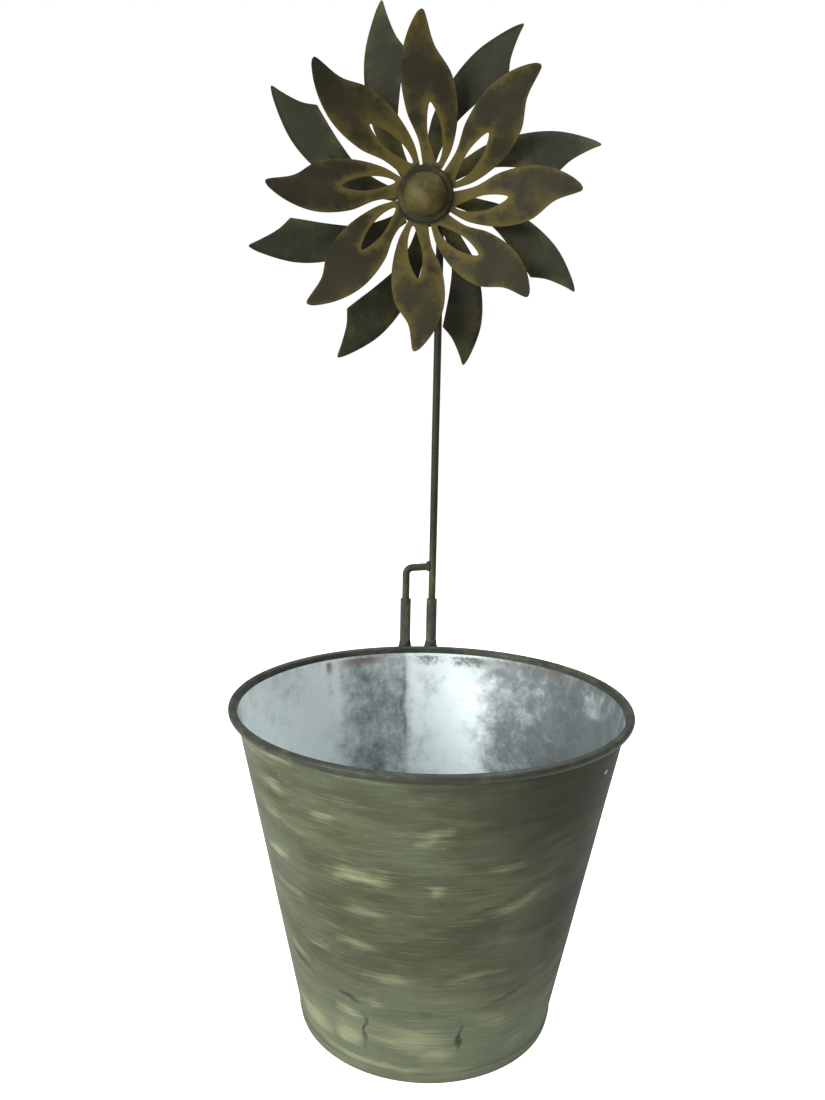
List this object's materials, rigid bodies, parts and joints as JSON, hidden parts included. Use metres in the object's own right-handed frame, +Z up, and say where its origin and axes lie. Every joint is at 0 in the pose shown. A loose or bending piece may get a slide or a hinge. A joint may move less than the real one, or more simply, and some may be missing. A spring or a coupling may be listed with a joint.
{
  "type": "pinwheel planter",
  "caption": "Round sheet-metal planter pot with a pull-out stake at its back that carries a flower-shaped double pinwheel turning on one axle.",
  "frame": {"origin": "on the table at the pot's axis, in the middle of the base's underside", "axes": "+Z up along the pot's axis and the stem; the wheels face -Y, the front; the stake stands at +Y; +X is to the right seen from the front"},
  "size_m": [0.2244, 0.2378, 0.5671],
  "materials": {
    "pot_sheet": "matt olive-grey paint with brushed cream streaks outside, bare galvanised zinc inside",
    "rim_steel": "dark olive-grey, worn",
    "socket_steel": "dark grey-green paint, worn",
    "weld_metal": "olive paint over rough weld",
    "stake_steel": "near-black brown paint, rubbed olive low down",
    "fastener_steel": "dull zinc-plated steel",
    "rear_petal_paint": "dark olive-grey paint, mottled",
    "front_petal_paint": "dark olive-brown paint with olive-gold rubbed edges",
    "cap_paint": "olive-gold paint, worn"
  },
  "bodies": {
    "pot": {"pot_wall": "pot_sheet", "rim_wire": "rim_steel", "pot_base": "pot_sheet", "stem_socket": "socket_steel", "leg_socket": "socket_steel", "socket_plate": "socket_steel", "plate_weld": "weld_metal", "stem_socket_weld": "weld_metal", "leg_socket_weld": "weld_metal"},
    "stake": {"stem_rod": "stake_steel", "side_leg": "stake_steel", "leg_weld": "weld_metal", "axle_sleeve": "stake_steel", "sleeve_weld": "weld_metal", "axle_bolt": "fastener_steel", "clamp_nut": "fastener_steel", "lock_nut": "fastener_steel", "rear_washer": "fastener_steel", "middle_washer": "fastener_steel", "front_washer": "fastener_steel"},
    "rear_wheel": {"rear_petals": "rear_petal_paint", "rear_hub_plate": "rear_petal_paint", "rear_bush": "fastener_steel"},
    "front_wheel": {"front_petals": "front_petal_paint", "front_hub_plate": "front_petal_paint", "front_bush": "fastener_steel", "hub_cap": "cap_paint"}
  },
  "joints": [
    {"name": "stake_lift", "type": "slide", "parent": "pot", "child": "stake", "axis": [0, 0, 1], "range_m": [0, 0.055]},
    {"name": "rear_spin", "type": "hinge", "parent": "stake", "child": "rear_wheel", "pos_m": [-0.0103, 0.0943, 0.463], "axis": [0, -1, 0], "continuous": true},
    {"name": "front_spin", "type": "hinge", "parent": "stake", "child": "front_wheel", "pos_m": [-0.0103, 0.0852, 0.463], "axis": [0, -1, 0], "continuous": true}
  ]
}
